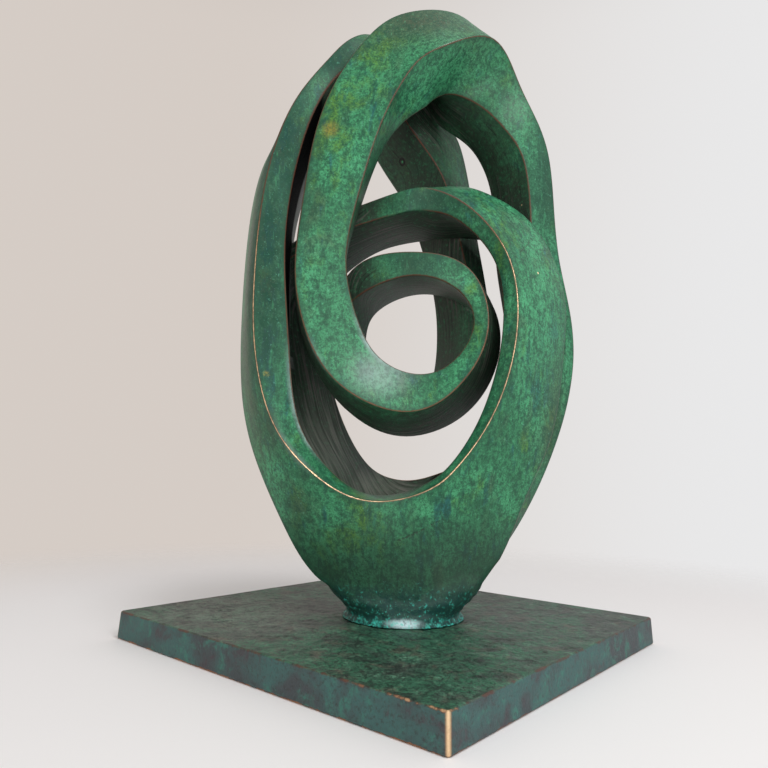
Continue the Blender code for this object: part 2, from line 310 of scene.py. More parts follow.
# The foot's rings stand in the ribbon's frame: half-width, half-depth, height above the foot's underside,
# all in mm, and the exponent of the outline (2 is an ellipse, more is squarer).
foot = {
    "rings": ((37, 37, 0, 2), (35, 35, 2.2, 2), (34.4, 34, 4.7, 2.2), (36.5, 33.4, 7.7, 2.4),
              (40.5, 33, 11.7, 2.6), (44.5, 32.4, 15.7, 2.6), (48, 31.5, 20.7, 2.6),
              (49.5, 29, 26.7, 2.6), (44, 24, 31.7, 2.4), (30, 16, 35.7, 2)),
    "gap": 0.3,             # clear of the plate
    "sides": 144,
    "between": 4,           # rings drawn for every one given
    "join": 36.0,           # the crease between cup and foot is eased up to this height above the plate
    "joinFrom": 4.0,        # and down to this one
    "joinClear": 0.02,      # m from the upright axis, inside which nothing is eased
    "joinBend": -0.12,      # a crease turns inwards by more than this, in radians
    "joinSpread": 4,        # rings of points beside the crease
    "joinPasses": 14,
}


def makeFoot():
    given = np.array(foot["rings"], float)
    given = np.concatenate([given[:1], given, given[-1:]])
    drawn = []
    for last, here, after, later in zip(given, given[1:], given[2:], given[3:]):
        for step in range(foot["between"]):
            share = step / foot["between"]
            drawn.append(here + (after - last) * share / 2
                         + (2 * last - 5 * here + 4 * after - later) * share ** 2 / 2
                         + (3 * here - last - 3 * after + later) * share ** 3 / 2)
    drawn.append(given[-1])
    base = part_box("plinth_plate")[1].z / mm + foot["gap"]
    bm = bmesh.new()
    bmesh.ops.create_circle(bm, segments=foot["sides"], radius=1)
    bmesh.ops.spin(bm, geom=bm.verts[:] + bm.edges[:], axis=(0, 0, 1), dvec=(0, 0, 1), angle=0,
                   steps=len(drawn) - 1)
    bmesh.ops.holes_fill(bm, edges=[e for e in bm.edges if e.is_boundary])
    for vert in bm.verts:
        wide, deep, height, squareness = drawn[round(vert.co.z)]
        x = copysign(abs(vert.co.x) ** (2 / squareness), vert.co.x)
        y = copysign(abs(vert.co.y) ** (2 / squareness), vert.co.y)
        vert.co = Vector((wide * x, deep * y, base + height)) * mm
    bmesh.ops.recalc_face_normals(bm, faces=bm.faces[:])
    turnOntoPlate(bm)
    return bm


# the ribbon and its foot become one closed casting
def castAsOne(finish):
    casting = makePiece("looped_band_casting", makeRibbon(), finish)
    neck = makePiece("neck", makeFoot(), finish)
    union = casting.modifiers.new("cast as one", "BOOLEAN")
    union.operation = "UNION"
    union.solver = "EXACT"
    union.use_self = True
    union.object = neck
    shaped = bpy.data.meshes.new_from_object(casting.evaluated_get(bpy.context.evaluated_depsgraph_get()))
    casting.modifiers.clear()
    casting.data = shaped
    bpy.data.objects.remove(neck)
    print("cast as one:", len(shaped.polygons), "faces")
    return casting


# The metal's own relief: the slow unevenness left by filing, and the pitted, unfinished foot.
relief = {
    "weld": 0.02,           # points closer than this are one, so that no sliver is left of the union
    "filing": 0.10,         # mm
    "filingSize": 26.0,     # mm
    "pitting": 0.75,
    "pittingSize": 4.2,
    "finer": (0.5, 0.4),    # the finer pits: their depth and their size, as shares of the others'
    "pittedFrom": 0.6,      # height above the plate at which the pitting starts
    "pittedTo": 27.0,       # and the one at which it has died out
    "pittedFully": 0.35,    # it is whole up to this share of that height
}


def workSurface(casting):
    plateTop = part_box("plinth_plate")[1].z
    bm = bmesh.new()
    bm.from_mesh(casting.data)
    bmesh.ops.remove_doubles(bm, verts=bm.verts[:], dist=relief["weld"] * mm)
    bmesh.ops.triangulate(bm, faces=[f for f in bm.faces if len(f.verts) > 4])
    centre = Vector((ribbon["centre"][0] * mm, ribbon["centre"][1] * mm, 0))
    crease = set()
    for edge in bm.edges:
        middle = (edge.verts[0].co + edge.verts[1].co) / 2
        if (len(edge.link_faces) == 2 and edge.calc_face_angle_signed() < foot["joinBend"]
                and foot["joinFrom"] * mm < middle.z - plateTop < foot["join"] * mm
                and (middle - centre).xy.length > foot["joinClear"]):
            crease.update(edge.verts)
    for _ in range(foot["joinSpread"]):
        crease.update([e.other_vert(v) for v in list(crease) for e in v.link_edges])
    crease = list(crease)
    for _ in range(foot["joinPasses"]):
        bmesh.ops.smooth_vert(bm, verts=crease, factor=0.5, use_axis_x=True, use_axis_y=True,
                              use_axis_z=True)
    bm.normal_update()
    for vert in bm.verts:
        height = (vert.co.z - plateTop) / mm
        slow = noise.noise(vert.co / (relief["filingSize"] * mm))
        push = relief["filing"] * slow
        rough = 1 - fade(height, relief["pittedTo"] * relief["pittedFully"], relief["pittedTo"])
        if rough > 0 and height > relief["pittedFrom"]:
            depth, share = relief["finer"]
            coarse = noise.noise(vert.co / (relief["pittingSize"] * mm))
            fine = depth * noise.noise(vert.co / (relief["pittingSize"] * share * mm))
            push += relief["pitting"] * rough * (coarse + fine)
        vert.co += vert.normal * push * mm
    bm.to_mesh(casting.data)
    bm.free()
    print("surface worked:", len(crease), "points of the join eased")


# how shut in each point is, from 0 in the open to 1 deep inside the loops: old patina is darkest there, and
# the shade that falls there is painted into the colour with it
hollows = {
    "rays": 20,
    "reach": 0.11,          # how far away a face still shuts a point in, in m
    "clear": 0.0004,        # a ray starts this far off the surface
    "evenings": 3,          # passes that even out the grain of the rays
}


def markHollows(casting):
    rays, reach = hollows["rays"], hollows["reach"]
    mesh = casting.data
    bm = bmesh.new()
    bm.from_mesh(mesh)
    tree = BVHTree.FromBMesh(bm)
    spiral = []
    for k in range(rays):
        radius = sqrt((k + 0.5) / rays)
        angle = k * pi * (3 - sqrt(5))
        spiral.append((radius * cos(angle), radius * sin(angle), sqrt(1 - radius * radius)))
    shut = []
    for vert in bm.verts:
        side = vert.normal.orthogonal().normalized()
        up = vert.normal.cross(side)
        start = vert.co + vert.normal * hollows["clear"]
        blocked = 0.0
        for x, y, z in spiral:
            hit = tree.ray_cast(start, side * x + up * y + vert.normal * z, reach)
            if hit[0] is not None:
                blocked += 1 - 0.5 * hit[3] / reach
        shut.append(blocked / rays)
    bm.verts.ensure_lookup_table()
    for _ in range(hollows["evenings"]):
        shut = [0.5 * shut[v.index] + 0.5 * sum(shut[e.other_vert(v).index] for e in v.link_edges)
                / max(1, len(v.link_edges)) for v in bm.verts]
    bm.free()
    mesh.attributes.new("hollow", "FLOAT", "POINT").data.foreach_set("value", np.array(shut, np.float32))
    print("hollows marked:", round(min(shut), 2), round(max(shut), 2))


plateShape = {
    "corner": 2.2,          # radius of the upright corners, mm
    "edge": 1.3,            # radius of the long edges
    "cells": 70,            # across one side
    "unevenness": 0.22,
    "unevenSize": 45.0,
    "grain": 0.45,          # of the sand-cast top
    "grainSize": 3.0,
    "finer": (0.6, 0.45),   # the finer grain: its depth and its size, as shares of the other's
    "sunk": 0.4,            # how much of the top lies below its highest grains
    "draft": 1.4,           # how much narrower the top is than the underside
    "slack": 7,             # the cells stop this far short of the edges, both sides together
    "rows": (0.3, 0.5, 0.7),                        # cuts round the sides, as shares of the height
}


def makePlate(finish):
    low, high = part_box("plinth_plate")
    size = (high - low) / mm
    bm = bmesh.new()
    bmesh.ops.create_cube(bm, size=1.0)
    draft = 1 - plateShape["draft"] / size.x
    for vert in bm.verts:
        taper = draft if vert.co.z > 0 else 1
        vert.co = Vector((vert.co.x * size.x * taper, vert.co.y * size.y * taper,
                          (vert.co.z + 0.5) * size.z)) * mm
    upright = [e for e in bm.edges if abs(e.verts[0].co.z - e.verts[1].co.z) > 0.01]
    bmesh.ops.bevel(bm, geom=upright, offset=plateShape["corner"] * mm, offset_type="OFFSET", segments=5,
                    profile=0.5, affect="EDGES", material=-1, clamp_overlap=True)
    rims = [e for e in bm.edges if len(e.link_faces) == 2 and e.calc_face_angle() > 1]
    bmesh.ops.bevel(bm, geom=rims, offset=plateShape["edge"] * mm, offset_type="OFFSET", segments=4,
                    profile=0.5, affect="EDGES", material=-1, clamp_overlap=True)
    for axis, reach in ((0, size.x), (1, size.y)):
        for cell in range(1, plateShape["cells"]):
            cut = Vector((0, 0, 0))
            cut[axis] = (cell / plateShape["cells"] - 0.5) * (reach - plateShape["slack"]) * mm
            normal = Vector((0, 0, 0))
            normal[axis] = 1
            bmesh.ops.bisect_plane(bm, geom=bm.verts[:] + bm.edges[:] + bm.faces[:], dist=1e-6,
                                   plane_co=cut, plane_no=normal)
    for height in plateShape["rows"]:
        bmesh.ops.bisect_plane(bm, geom=bm.verts[:] + bm.edges[:] + bm.faces[:], dist=1e-6,
                               plane_co=(0, 0, size.z * height * mm), plane_no=(0, 0, 1))
    bm.normal_update()
    flat = {f for f in bm.faces if f.normal.z > 0.99 and len(f.verts) == 4}
    bmesh.ops.subdivide_edges(bm, edges=[e for e in bm.edges if all(f in flat for f in e.link_faces)],
                              cuts=1, use_grid_fill=True)
    bmesh.ops.triangulate(bm, faces=[f for f in bm.faces if len(f.verts) > 4])
    bm.normal_update()
    ridgeMap = bm.loops.layers.uv.new("ridge")
    halfX = size.x * draft / 2 * mm
    halfY = size.y * draft / 2 * mm
    for face in bm.faces:
        for loop in face.loops:
            c = loop.vert.co
            gaps = sorted((halfX - abs(c.x), halfY - abs(c.y), min(size.z * mm - c.z, c.z)))
            away = max(0, gaps[0]) + max(0, gaps[1])
            loop[ridgeMap].uv = (away / mm / ridgeUnit, 1)
    for vert in bm.verts:
        if vert.co.z < 2 * mm:
            continue        # the underside stays flat
        sunk = plateShape["unevenness"] * abs(noise.noise(vert.co / (plateShape["unevenSize"] * mm)))
        if vert.normal.z > 0.99:
            coarse = noise.noise(vert.co / (plateShape["grainSize"] * mm))
            depth, share = plateShape["finer"]
            fine = depth * noise.noise(vert.co / (plateShape["grainSize"] * share * mm))
            sunk += plateShape["grain"] * max(0, plateShape["sunk"] + coarse + fine)
        vert.co -= vert.normal * sunk * mm
    piece = makePiece("plinth_plate_casting", bm, finish)
    print("plate made:", len(piece.data.polygons), "faces")
    return piece


def addNode(tree, kind, inputs=None, **settings):
    node = tree.nodes.new(kind)
    for name, value in settings.items():
        setattr(node, name, value)
    for key, value in (inputs or {}).items():
        if isinstance(value, bpy.types.NodeSocket):
            tree.links.new(value, node.inputs[key])
        else:
            node.inputs[key].default_value = value
    return node


# a noise whose features are about "size" mm across, as a value from 0 to 1
def grainOf(tree, where, size, octaves, fine, warp=0.0, stretch=None, shift=(0, 0, 0)):
    if stretch:
        where = addNode(tree, "ShaderNodeMapping",
                        {"Vector": where, "Scale": stretch, "Location": shift}).outputs[0]
    return addNode(tree, "ShaderNodeTexNoise", {
        "Vector": where, "Scale": 1 / (size * mm), "Detail": octaves,
        "Roughness": fine, "Distortion": warp}).outputs["Fac"]


def ranged(tree, value, low, high, toLow=0.0, toHigh=1.0):
    return addNode(tree, "ShaderNodeMapRange", {"Value": value, "From Min": low, "From Max": high,
                                                "To Min": toLow, "To Max": toHigh},
                   interpolation_type="SMOOTHSTEP").outputs[0]


def reckon(tree, operation, *values):
    node = tree.nodes.new("ShaderNodeMath")
    node.operation = operation
    for slot, value in zip(node.inputs, values):
        if isinstance(value, bpy.types.NodeSocket):
            tree.links.new(value, slot)
        else:
            slot.default_value = value
    return node.outputs[0]


def product(tree, *values):
    total = values[0]
    for value in values[1:]:
        total = reckon(tree, "MULTIPLY", total, value)
    return total


def layColour(tree, share, under, over):
    node = tree.nodes.new("ShaderNodeMix")
    node.data_type = "RGBA"
    for slot, value in ((0, share), (6, under), (7, over)):
        if isinstance(value, bpy.types.NodeSocket):
            tree.links.new(value, node.inputs[slot])
        elif slot == 0:
            node.inputs[0].default_value = value
        else:
            node.inputs[slot].default_value = (*value, 1)
    return node.outputs[2]


# lays tones over a colour one by one: pattern, where it starts, where it is full, its share then, tone
def layTones(tree, colour, layers, patterns, tones):
    for name, start, full, share, tone in layers:
        colour = layColour(tree, ranged(tree, patterns[name], start, full, 0, share), colour, tones[tone])
    return colour


# a soft round patch of the surface, given by its middle and its half-sizes in mm
def patchAt(tree, where, middle, size):
    shift = addNode(tree, "ShaderNodeVectorMath", {0: where, 1: tuple(c * mm for c in middle)},
                    operation="SUBTRACT").outputs[0]
    scaled = addNode(tree, "ShaderNodeVectorMath", {0: shift, 1: tuple(s * mm for s in size)},
                     operation="DIVIDE").outputs[0]
    return addNode(tree, "ShaderNodeVectorMath", {0: scaled}, operation="LENGTH").outputs["Value"]


# how far a point lies from a straight stroke on the surface, in mm
def strokeAt(tree, where, start, end):
    first = tuple(c * mm for c in start)
    along = Vector(end) * mm - Vector(first)
    fromFirst = addNode(tree, "ShaderNodeVectorMath", {0: where, 1: first}, operation="SUBTRACT").outputs[0]
    share = addNode(tree, "ShaderNodeVectorMath", {0: fromFirst, 1: tuple(along / along.length_squared)},
                    operation="DOT_PRODUCT").outputs["Value"]
    share = addNode(tree, "ShaderNodeClamp", {"Value": share}).outputs[0]
    closest = addNode(tree, "ShaderNodeVectorMath", {0: tuple(along), "Scale": share},
                      operation="SCALE").outputs[0]
    away = addNode(tree, "ShaderNodeVectorMath", {0: fromFirst, 1: closest},
                   operation="DISTANCE").outputs["Value"]
    return reckon(tree, "DIVIDE", away, mm)


def makeFinish(name, roughness):
    finish = bpy.data.materials.new(name)
    finish.use_nodes = True
    tree = finish.node_tree
    shader = tree.nodes["Principled BSDF"]
    shader.inputs["Roughness"].default_value = roughness
    where = addNode(tree, "ShaderNodeTexCoord").outputs["Object"]
    return finish, tree, shader, where


patina = {
    "deep": (0.010, 0.066, 0.036),
    "green": (0.034, 0.198, 0.088),
    "bright": (0.060, 0.330, 0.150),
    "yellow": (0.085, 0.215, 0.024),
    "amber": (0.24, 0.20, 0.035),
    "blue": (0.008, 0.085, 0.100),
    "umber": (0.020, 0.035, 0.023),
    "violet": (0.105, 0.084, 0.082),
    "grey_and_sheen": (0.058, 0.068, 0.040),
    "shadow": (0.015, 0.058, 0.036),
    "dusk": (0.018, 0.034, 0.026),
    "speck": (0.16, 0.52, 0.36),
    "turquoise": (0.04, 0.46, 0.38),
    "inky": (0.006, 0.050, 0.045),
    "oxide": (0.080, 0.024, 0.014),
    "copper": (0.50, 0.24, 0.11),
    "gold": (0.86, 0.62, 0.38),
    "pale": (0.34, 0.46, 0.44),
    "gleam": (0.62, 0.82, 0.86),
    "ash": (0.36, 0.38, 0.33),
    "black": (0.004, 0.005, 0.005),
}

# Places on the casting where the patina differs, and places where light, shadow, sheen and highlights are
# painted in: middle and half-sizes, in mm.
marks = {
    "yellow": (((-9, -58, 320), (22, 22, 50)), ((6, -40, 372), (26, 26, 32)), ((12, -42, 74), (30, 26, 28)),
               ((52, 8, 190), (9, 9, 30)), ((70, 18, 252), (16, 16, 22))),
    "blue": (((-30, -80, 165), (14, 14, 62)), ((85, 41, 180), (20, 20, 44)), ((44, -14, 84), (16, 16, 12))),
    "dark": (((30, -6, 272), (34, 34, 11)), ((-4, 25, 335), (16, 16, 44)), ((77, 64, 300), (15, 20, 56)),
             ((24, -12, 233), (30, 26, 13))),
    "dim": (((-36, -74, 322), (26, 23, 98)), ((-33, -82, 225), (19, 18, 115)),
            ((-28, -42, 384), (27, 27, 36))),
    "grey_and_sheen": (((28, -16, 410), (70, 70, 42)), ((-52, -80, 205), (13, 22, 150)),
              ((84, 60, 120), (20, 20, 60))),
    "black": (((-31, -60, 280), (15, 15, 110)),),
    "painted_light": (((44, -8, 364), (40, 44, 26)), ((86, 36, 200), (16, 22, 50)), ((36, -5, 200), (14, 14, 34))),
    "lit": (((8, 54, 330), (14, 16, 60)), ((46, -6, 362), (44, 44, 32)), ((34, 39, 200), (16, 16, 44))),
    "worn": (((-41, -21, 118), (30, 30, 44)), ((-17, 7, 93), (40, 30, 16))),
    "pale": (((-20, -62, 137), (18, 16, 48)), ((10, -38, 176), (20, 20, 26))),
    "painted_sheen": (((16, -34, 160), (20, 20, 16)),),
    "gleam": ((31.7, -25.9, 18.5), (12, 10, 2.6)),
    "amber": ((-9, -58, 313), (6, 6, 7)),
    "nick": ((-29.3, -82.5, 156.8), (3, 3, 2.6)),
    "pit": ((-21.2, 28.6, 331.0), (3.4, 3.4, 3.4)),
    "specks": (((82.2, 38.6, 227.8), (0.9, 0.9, 0.9)), ((50, 57.8, 295), (1.3, 1.3, 1.3)),
               ((61.8, 55.7, 284.4), (1.0, 1.0, 1.0))),
    "scratches": (((77.3, 24.5, 238.1), (76.3, 39.3, 249.8)), ((29.4, -30.8, 63.9), (38.1, -21.9, 69.6)),
                  ((38.1, -21.9, 69.6), (46.1, -12.0, 76.3))),
}


zoneEdge = (1.3, 0.1)       # a zone starts at the first share of its half-size and is full at the second


def zoneOf(tree, where, places):
    total = 0.0
    for middle, size in places:
        share = ranged(tree, patchAt(tree, where, middle, size), *zoneEdge)
        total = reckon(tree, "MAXIMUM", total, share)
    return total


# The patterns of the green patina: size in mm, octaves, strength of the fine ones, warp, then the stretch
# and the shift of a pattern that is drawn out.
greenPatterns = {
    "cloudy": (38, 3, 0.55, 0.3),
    "mottle": (7.5, 6, 0.72, 0.3),
    "grain": (2.6, 4, 0.75),
    "dust": (1.2, 3, 0.75),
    "runs": (2.8, 4, 0.65, 0, (1, 1, 0.22)),
    "earthy": (30, 4, 0.6, 0.4, (1, 1, 0.6), (0.1, 0.8, 0.5)),
    "yellow": (17, 5, 0.65, 0.4, (1, 1, 0.7), (0.9, 0.4, 0.2)),
    "blue": (7, 5, 0.65, 0.3, (1, 1, 0.3), (0.3, 0.1, 0.7)),
    "broken": (16, 4, 0.6),
    "pits": (2.4, 4, 0.75),
}
greenStreaks = (1.7, 4, 0.6, 0, (1, 0.04, 1))       # drawn out along the ribbon
greenGround = (
    ("earthy", 0.52, 0.68, 0.6, "grey_and_sheen"),
    ("yellow", 0.54, 0.76, 0.85, "yellow"),
    ("blue", 0.54, 0.72, 0.85, "blue"),
)
greenSpeckle = (
    ("mottle", 0.51, 0.34, 0.66, "deep"),
    ("grain", 0.54, 0.38, 0.72, "deep"),
    ("dust", 0.52, 0.38, 0.60, "deep"),
    ("runs", 0.50, 0.34, 0.65, "deep"),
    ("runs", 0.58, 0.72, 0.35, "bright"),
    ("grain", 0.60, 0.74, 0.45, "speck"),
    ("dust", 0.60, 0.72, 0.35, "speck"),
)
# Heights in m above the plate's underside between which a change takes place.
greenHeights = {
    "duskBelow": (0.092, 0.040),
    "ridgesAbove": (0.040, 0.060),
    "footBelow": (0.052, 0.034),
    "baseBelow": (0.0215, 0.0175),
}


def makeGreenBronze():
    finish, tree, shader, where = makeFinish("green_bronze_patina", 0.42)
    shader.inputs["Specular IOR Level"].default_value = 0.30
    hollow = addNode(tree, "ShaderNodeAttribute", attribute_name="hollow").outputs["Fac"]
    ridge = addNode(tree, "ShaderNodeUVMap", uv_map="ridge").outputs[0]
    ridge = addNode(tree, "ShaderNodeSeparateXYZ", {0: ridge})
    fromRidge = product(tree, ridge.outputs[0], ridgeUnit)
    wear = ridge.outputs[1]
    height = addNode(tree, "ShaderNodeSeparateXYZ", {0: where}).outputs[2]
    zones = {name: zoneOf(tree, where, marks[name]) for name in (
        "yellow", "blue", "dark", "dim", "grey_and_sheen", "black", "painted_light", "lit", "worn", "pale", "painted_sheen")}
    patterns = {name: grainOf(tree, where, *settings) for name, settings in greenPatterns.items()}
    patterns["yellow"] = reckon(tree, "ADD", patterns["yellow"], product(tree, zones["yellow"], 0.21))
    patterns["blue"] = reckon(tree, "ADD", patterns["blue"], product(tree, zones["blue"], 0.14))
    mottle, grain, dust = patterns["mottle"], patterns["grain"], patterns["dust"]

    # the ground, with painted light, painted sheen and painted shadow in places and darker patches
    # elsewhere, and the speckle over it
    cloudy = ranged(tree, patterns["cloudy"], 0.38, 0.62)
    colour = layColour(tree, cloudy, patina["green"], patina["bright"])
    colour = layTones(tree, colour, greenGround, patterns, patina)
    # painted light on the crest's front and the right flanks, where the light falls strongest
    colour = layColour(tree, product(tree, zones["painted_light"], 0.85), colour, patina["bright"])
    # painted sheen and shade: the greyer, darker look of the crest's top and the outer flanks, which
    # reflect the pale wall at a grazing angle and get less light
    colour = layColour(tree, product(tree, zones["grey_and_sheen"], 0.85), colour, patina["grey_and_sheen"])
    # painted shadow under the arch, behind the crest, on the back right flank and inside the loop below the
    # arch
    dark = product(tree, zones["dark"], ranged(tree, mottle, 0.30, 0.66, 1.0, 0.7))
    colour = layColour(tree, dark, colour, patina["shadow"])
    dim = product(tree, zones["dim"], ranged(tree, mottle, 0.30, 0.66, 1.0, 0.72))
    colour = layColour(tree, dim, colour, patina["dusk"])
    blotches = product(tree, zones["dim"], ranged(tree, patterns["blue"], 0.57, 0.46, 0, 0.85))
    colour = layColour(tree, blotches, colour, patina["inky"])
    colour = layTones(tree, colour, greenSpeckle, patterns, patina)
    dusk = ranged(tree, height, *greenHeights["duskBelow"], 0, 0.72)
    colour = layColour(tree, dusk, colour, patina["dusk"])
    beside = product(tree, ranged(tree, fromRidge, 4.5, 0.8, 0, 0.5), ranged(tree, wear, 0.1, 0.4))
    colour = layColour(tree, beside, colour, patina["deep"])

    # shut-in faces: painted shade together with the old brown-black patina, held back on faces the light
    # reaches, with streaks that run along the ribbon
    shut = reckon(tree, "ADD", hollow, product(tree, reckon(tree, "SUBTRACT", mottle, 0.5), 0.5))
    shade = product(tree, ranged(tree, shut, 0.12, 0.46),
                    reckon(tree, "SUBTRACT", 1.0, product(tree, zones["lit"], 0.8)))
    streak = addNode(tree, "ShaderNodeUVMap", uv_map="streak").outputs[0]
    drawn = grainOf(tree, streak, *greenStreaks)
    colour = layColour(tree, product(tree, shade, 0.93), colour, patina["umber"])
    flecks = product(tree, shade, ranged(tree, grain, 0.52, 0.68, 0, 0.55))
    colour = layColour(tree, flecks, colour, patina["green"])
    greyed = product(tree, ranged(tree, shut, 0.38, 0.66), ranged(tree, drawn, 0.50, 0.66, 0, 0.75))
    colour = layColour(tree, greyed, colour, patina["violet"])
    blackened = product(tree, shade, ranged(tree, drawn, 0.46, 0.34, 0, 0.7))
    colour = layColour(tree, blackened, colour, patina["black"])
    ashen = product(tree, zones["worn"], shade, ranged(tree, drawn, 0.35, 0.65, 0.18, 0.5))
    colour = layColour(tree, ashen, colour, patina["ash"])
    # painted shadow: a black sheet over the back-facing faces in the narrow gap between the left strand and
    # the rising limb
    facing = addNode(tree, "ShaderNodeNewGeometry").outputs["Normal"]
    backward = ranged(tree, addNode(tree, "ShaderNodeSeparateXYZ", {0: facing}).outputs[1], -0.1, 0.2)
    black = product(tree, ranged(tree, zones["black"], 0.05, 0.3), backward)
    colour = layColour(tree, black, colour, patina["black"])

    # painted highlights: long pale streaks beside two ridges, and a soft pale sheen on the ring's lower
    # face
    pale = product(tree, zones["pale"], ranged(tree, fromRidge, 4.5, 0.3),
                   ranged(tree, mottle, 0.30, 0.60, 0.25, 0.85))
    colour = layColour(tree, pale, colour, patina["pale"])
    painted_sheen = product(tree, zones["painted_sheen"], ranged(tree, grain, 0.35, 0.60, 0.25, 0.5))
    colour = layColour(tree, painted_sheen, colour, patina["pale"])

    # single marks
    amber = product(tree, ranged(tree, patchAt(tree, where, *marks["amber"]), 1.2, 0.2),
                    ranged(tree, dust, 0.34, 0.62, 0.25, 0.8))
    colour = layColour(tree, amber, colour, patina["amber"])
    nick = product(tree, ranged(tree, patchAt(tree, where, *marks["nick"]), 1.0, 0.3),
                   ranged(tree, dust, 0.40, 0.60, 0, 0.7))
    colour = layColour(tree, nick, colour, patina["amber"])
    pit = patchAt(tree, where, *marks["pit"])
    pitRing = product(tree, ranged(tree, pit, 1.0, 0.8), ranged(tree, pit, 0.35, 0.6))
    colour = layColour(tree, pitRing, colour, patina["black"])
    colour = layColour(tree, ranged(tree, pit, 0.35, 0.1), colour, patina["bright"])
    scored = 0.0
    for start, end in marks["scratches"]:
        away = reckon(tree, "ADD", strokeAt(tree, where, start, end),
                      ranged(tree, dust, 0.35, 0.65, -0.3, 0.5))
        scored = reckon(tree, "MAXIMUM", scored, ranged(tree, away, 0.75, 0.25))
    colour = layColour(tree, product(tree, scored, 0.6), colour, patina["umber"])
    bare = 0.0
    for middle, size in marks["specks"]:
        bare = reckon(tree, "MAXIMUM", bare, ranged(tree, patchAt(tree, where, middle, size), 1.0, 0.5))
    colour = layColour(tree, bare, colour, patina["gold"])

    # rubbed ridges: a thread of bare metal, most of all on the cup's lip, with brown oxide beside it
    edge = reckon(tree, "ADD", fromRidge, ranged(tree, grain, 0.35, 0.65, -0.10, 0.22))
    lip = ranged(tree, wear, 0.55, 0.95)
    worked = product(tree, ranged(tree, wear, 0.1, 0.4), ranged(tree, height, *greenHeights["ridgesAbove"]))
    brown = product(tree, ranged(tree, edge, 1.15, 0.45, 0, 0.75), worked)
    colour = layColour(tree, brown, colour, patina["oxide"])
    broken = ranged(tree, patterns["broken"], 0.36, 0.60, 0.35, 0.85)
    bared = reckon(tree, "ADD", 0.05, product(tree, lip, broken))
    thread = product(tree, ranged(tree, edge, 0.56, 0.22), bared, worked)
    colour = layColour(tree, thread, colour, layColour(tree, lip, patina["copper"], patina["gold"]))

    # the pitted foot
    pits = patterns["pits"]
    lowered = reckon(tree, "ADD", height, product(tree, mottle, 0.018))
    footward = ranged(tree, lowered, *greenHeights["footBelow"])
    sooty = product(tree, footward, ranged(tree, pits, 0.66, 0.40, 0.4, 0.97))
    colour = layColour(tree, sooty, colour, patina["inky"])
    crusted = product(tree, footward, ranged(tree, pits, 0.56, 0.66, 0, 0.7))
    colour = layColour(tree, crusted, colour, patina["turquoise"])
    # painted highlight: a pale glint on the front of the foot's flare
    gleam = product(tree, ranged(tree, patchAt(tree, where, *marks["gleam"]), 1.3, 0.2),
                    ranged(tree, pits, 0.30, 0.52, 0.3, 0.95))
    colour = layColour(tree, gleam, colour, patina["gleam"])
    base = product(tree, ranged(tree, height, *greenHeights["baseBelow"]),
                   ranged(tree, pits, 0.45, 0.62, 0, 0.75))
    colour = layColour(tree, base, colour, patina["turquoise"])
    tree.links.new(colour, shader.inputs["Base Color"])

    roughness = reckon(tree, "ADD", ranged(tree, grain, 0.3, 0.7, 0.31, 0.43), product(tree, shade, 0.14))
    roughness = reckon(tree, "ADD", roughness, product(tree, dark, 0.28))
    roughness = reckon(tree, "ADD", roughness, product(tree, reckon(tree, "MAXIMUM", dim, black), 0.5))
    roughness = reckon(tree, "ADD", roughness, product(tree, footward, 0.10))
    tree.links.new(roughness, shader.inputs["Roughness"])
    tree.links.new(reckon(tree, "MAXIMUM", thread, product(tree, black, 0.95)), shader.inputs["Metallic"])

    bumps = reckon(tree, "ADD", product(tree, grain, 0.7), product(tree, drawn, shade, 1.8))
    bumps = reckon(tree, "ADD", bumps, product(tree, footward, pits, 2.5))
    bumps = reckon(tree, "SUBTRACT", bumps, product(tree, reckon(tree, "MAXIMUM", pitRing, scored), 1.5))
    bump = addNode(tree, "ShaderNodeBump", {"Strength": 0.35, "Distance": 0.0004, "Height": bumps})
    tree.links.new(bump.outputs[0], shader.inputs["Normal"])
    print("green bronze mixed")
    return finish


plateFinish = {
    "dusty": ((-75, -65, 16), (70, 60, 20)),        # middle and half-sizes of the paler side of the top, mm
    "rubbed": ((113, -112, 15), (42, 8, 6)),        # and of the rubbed stretch beside the front corner
    "polished": (0.00225, 0.00075),                 # bare corners: start and full, m inside the sides
    "lowRim": (0.004, 0.002),                       # heights in m between which the lower rim starts
    "lean": 0.044,                                  # how far the sides lean in for each metre of height
}
plateTones = {
    "dull": (0.052, 0.084, 0.066),
    "green": (0.034, 0.148, 0.084),
    "rust": (0.150, 0.112, 0.086),
    "brown": (0.052, 0.040, 0.036),
    "pit": (0.006, 0.011, 0.010),
    "bright": (0.140, 0.310, 0.210),
    "dust": (0.210, 0.270, 0.215),
    "soot": (0.008, 0.013, 0.011),
    "leaf": (0.085, 0.26, 0.15),
    "grit": (0.010, 0.014, 0.012),
    "slate": (0.038, 0.052, 0.058),
    "teal": (0.032, 0.105, 0.098),
    "verdigris": (0.030, 0.190, 0.140),
    "plum": (0.052, 0.028, 0.038),
    "ink": (0.010, 0.013, 0.013),
}
platePatterns = {
    "cloudy": (40, 4, 0.6, 0.5),
    "mottle": (13, 6, 0.72, 0.4),
    "clods": (15, 9, 0.86, 0.2),
    "grain": (1.9, 4, 0.8),
    "sand": (0.9, 2, 0.8),
    "broken": (10, 4, 0.7),
}
topGround = (
    ("mottle", 0.50, 0.68, 0.7, "rust"),
    ("mottle", 0.44, 0.32, 0.6, "brown"),
    ("clods", 0.50, 0.40, 0.92, "pit"),
    ("clods", 0.54, 0.63, 0.8, "bright"),
)
topSpeckle = (
    ("grain", 0.52, 0.40, 0.85, "soot"),
    ("grain", 0.58, 0.70, 0.6, "leaf"),
    ("sand", 0.50, 0.36, 0.75, "grit"),
)
sideGround = (
    ("mottle", 0.52, 0.66, 0.7, "verdigris"),
    ("mottle", 0.46, 0.34, 0.7, "plum"),
    ("grain", 0.50, 0.38, 0.6, "ink"),
)


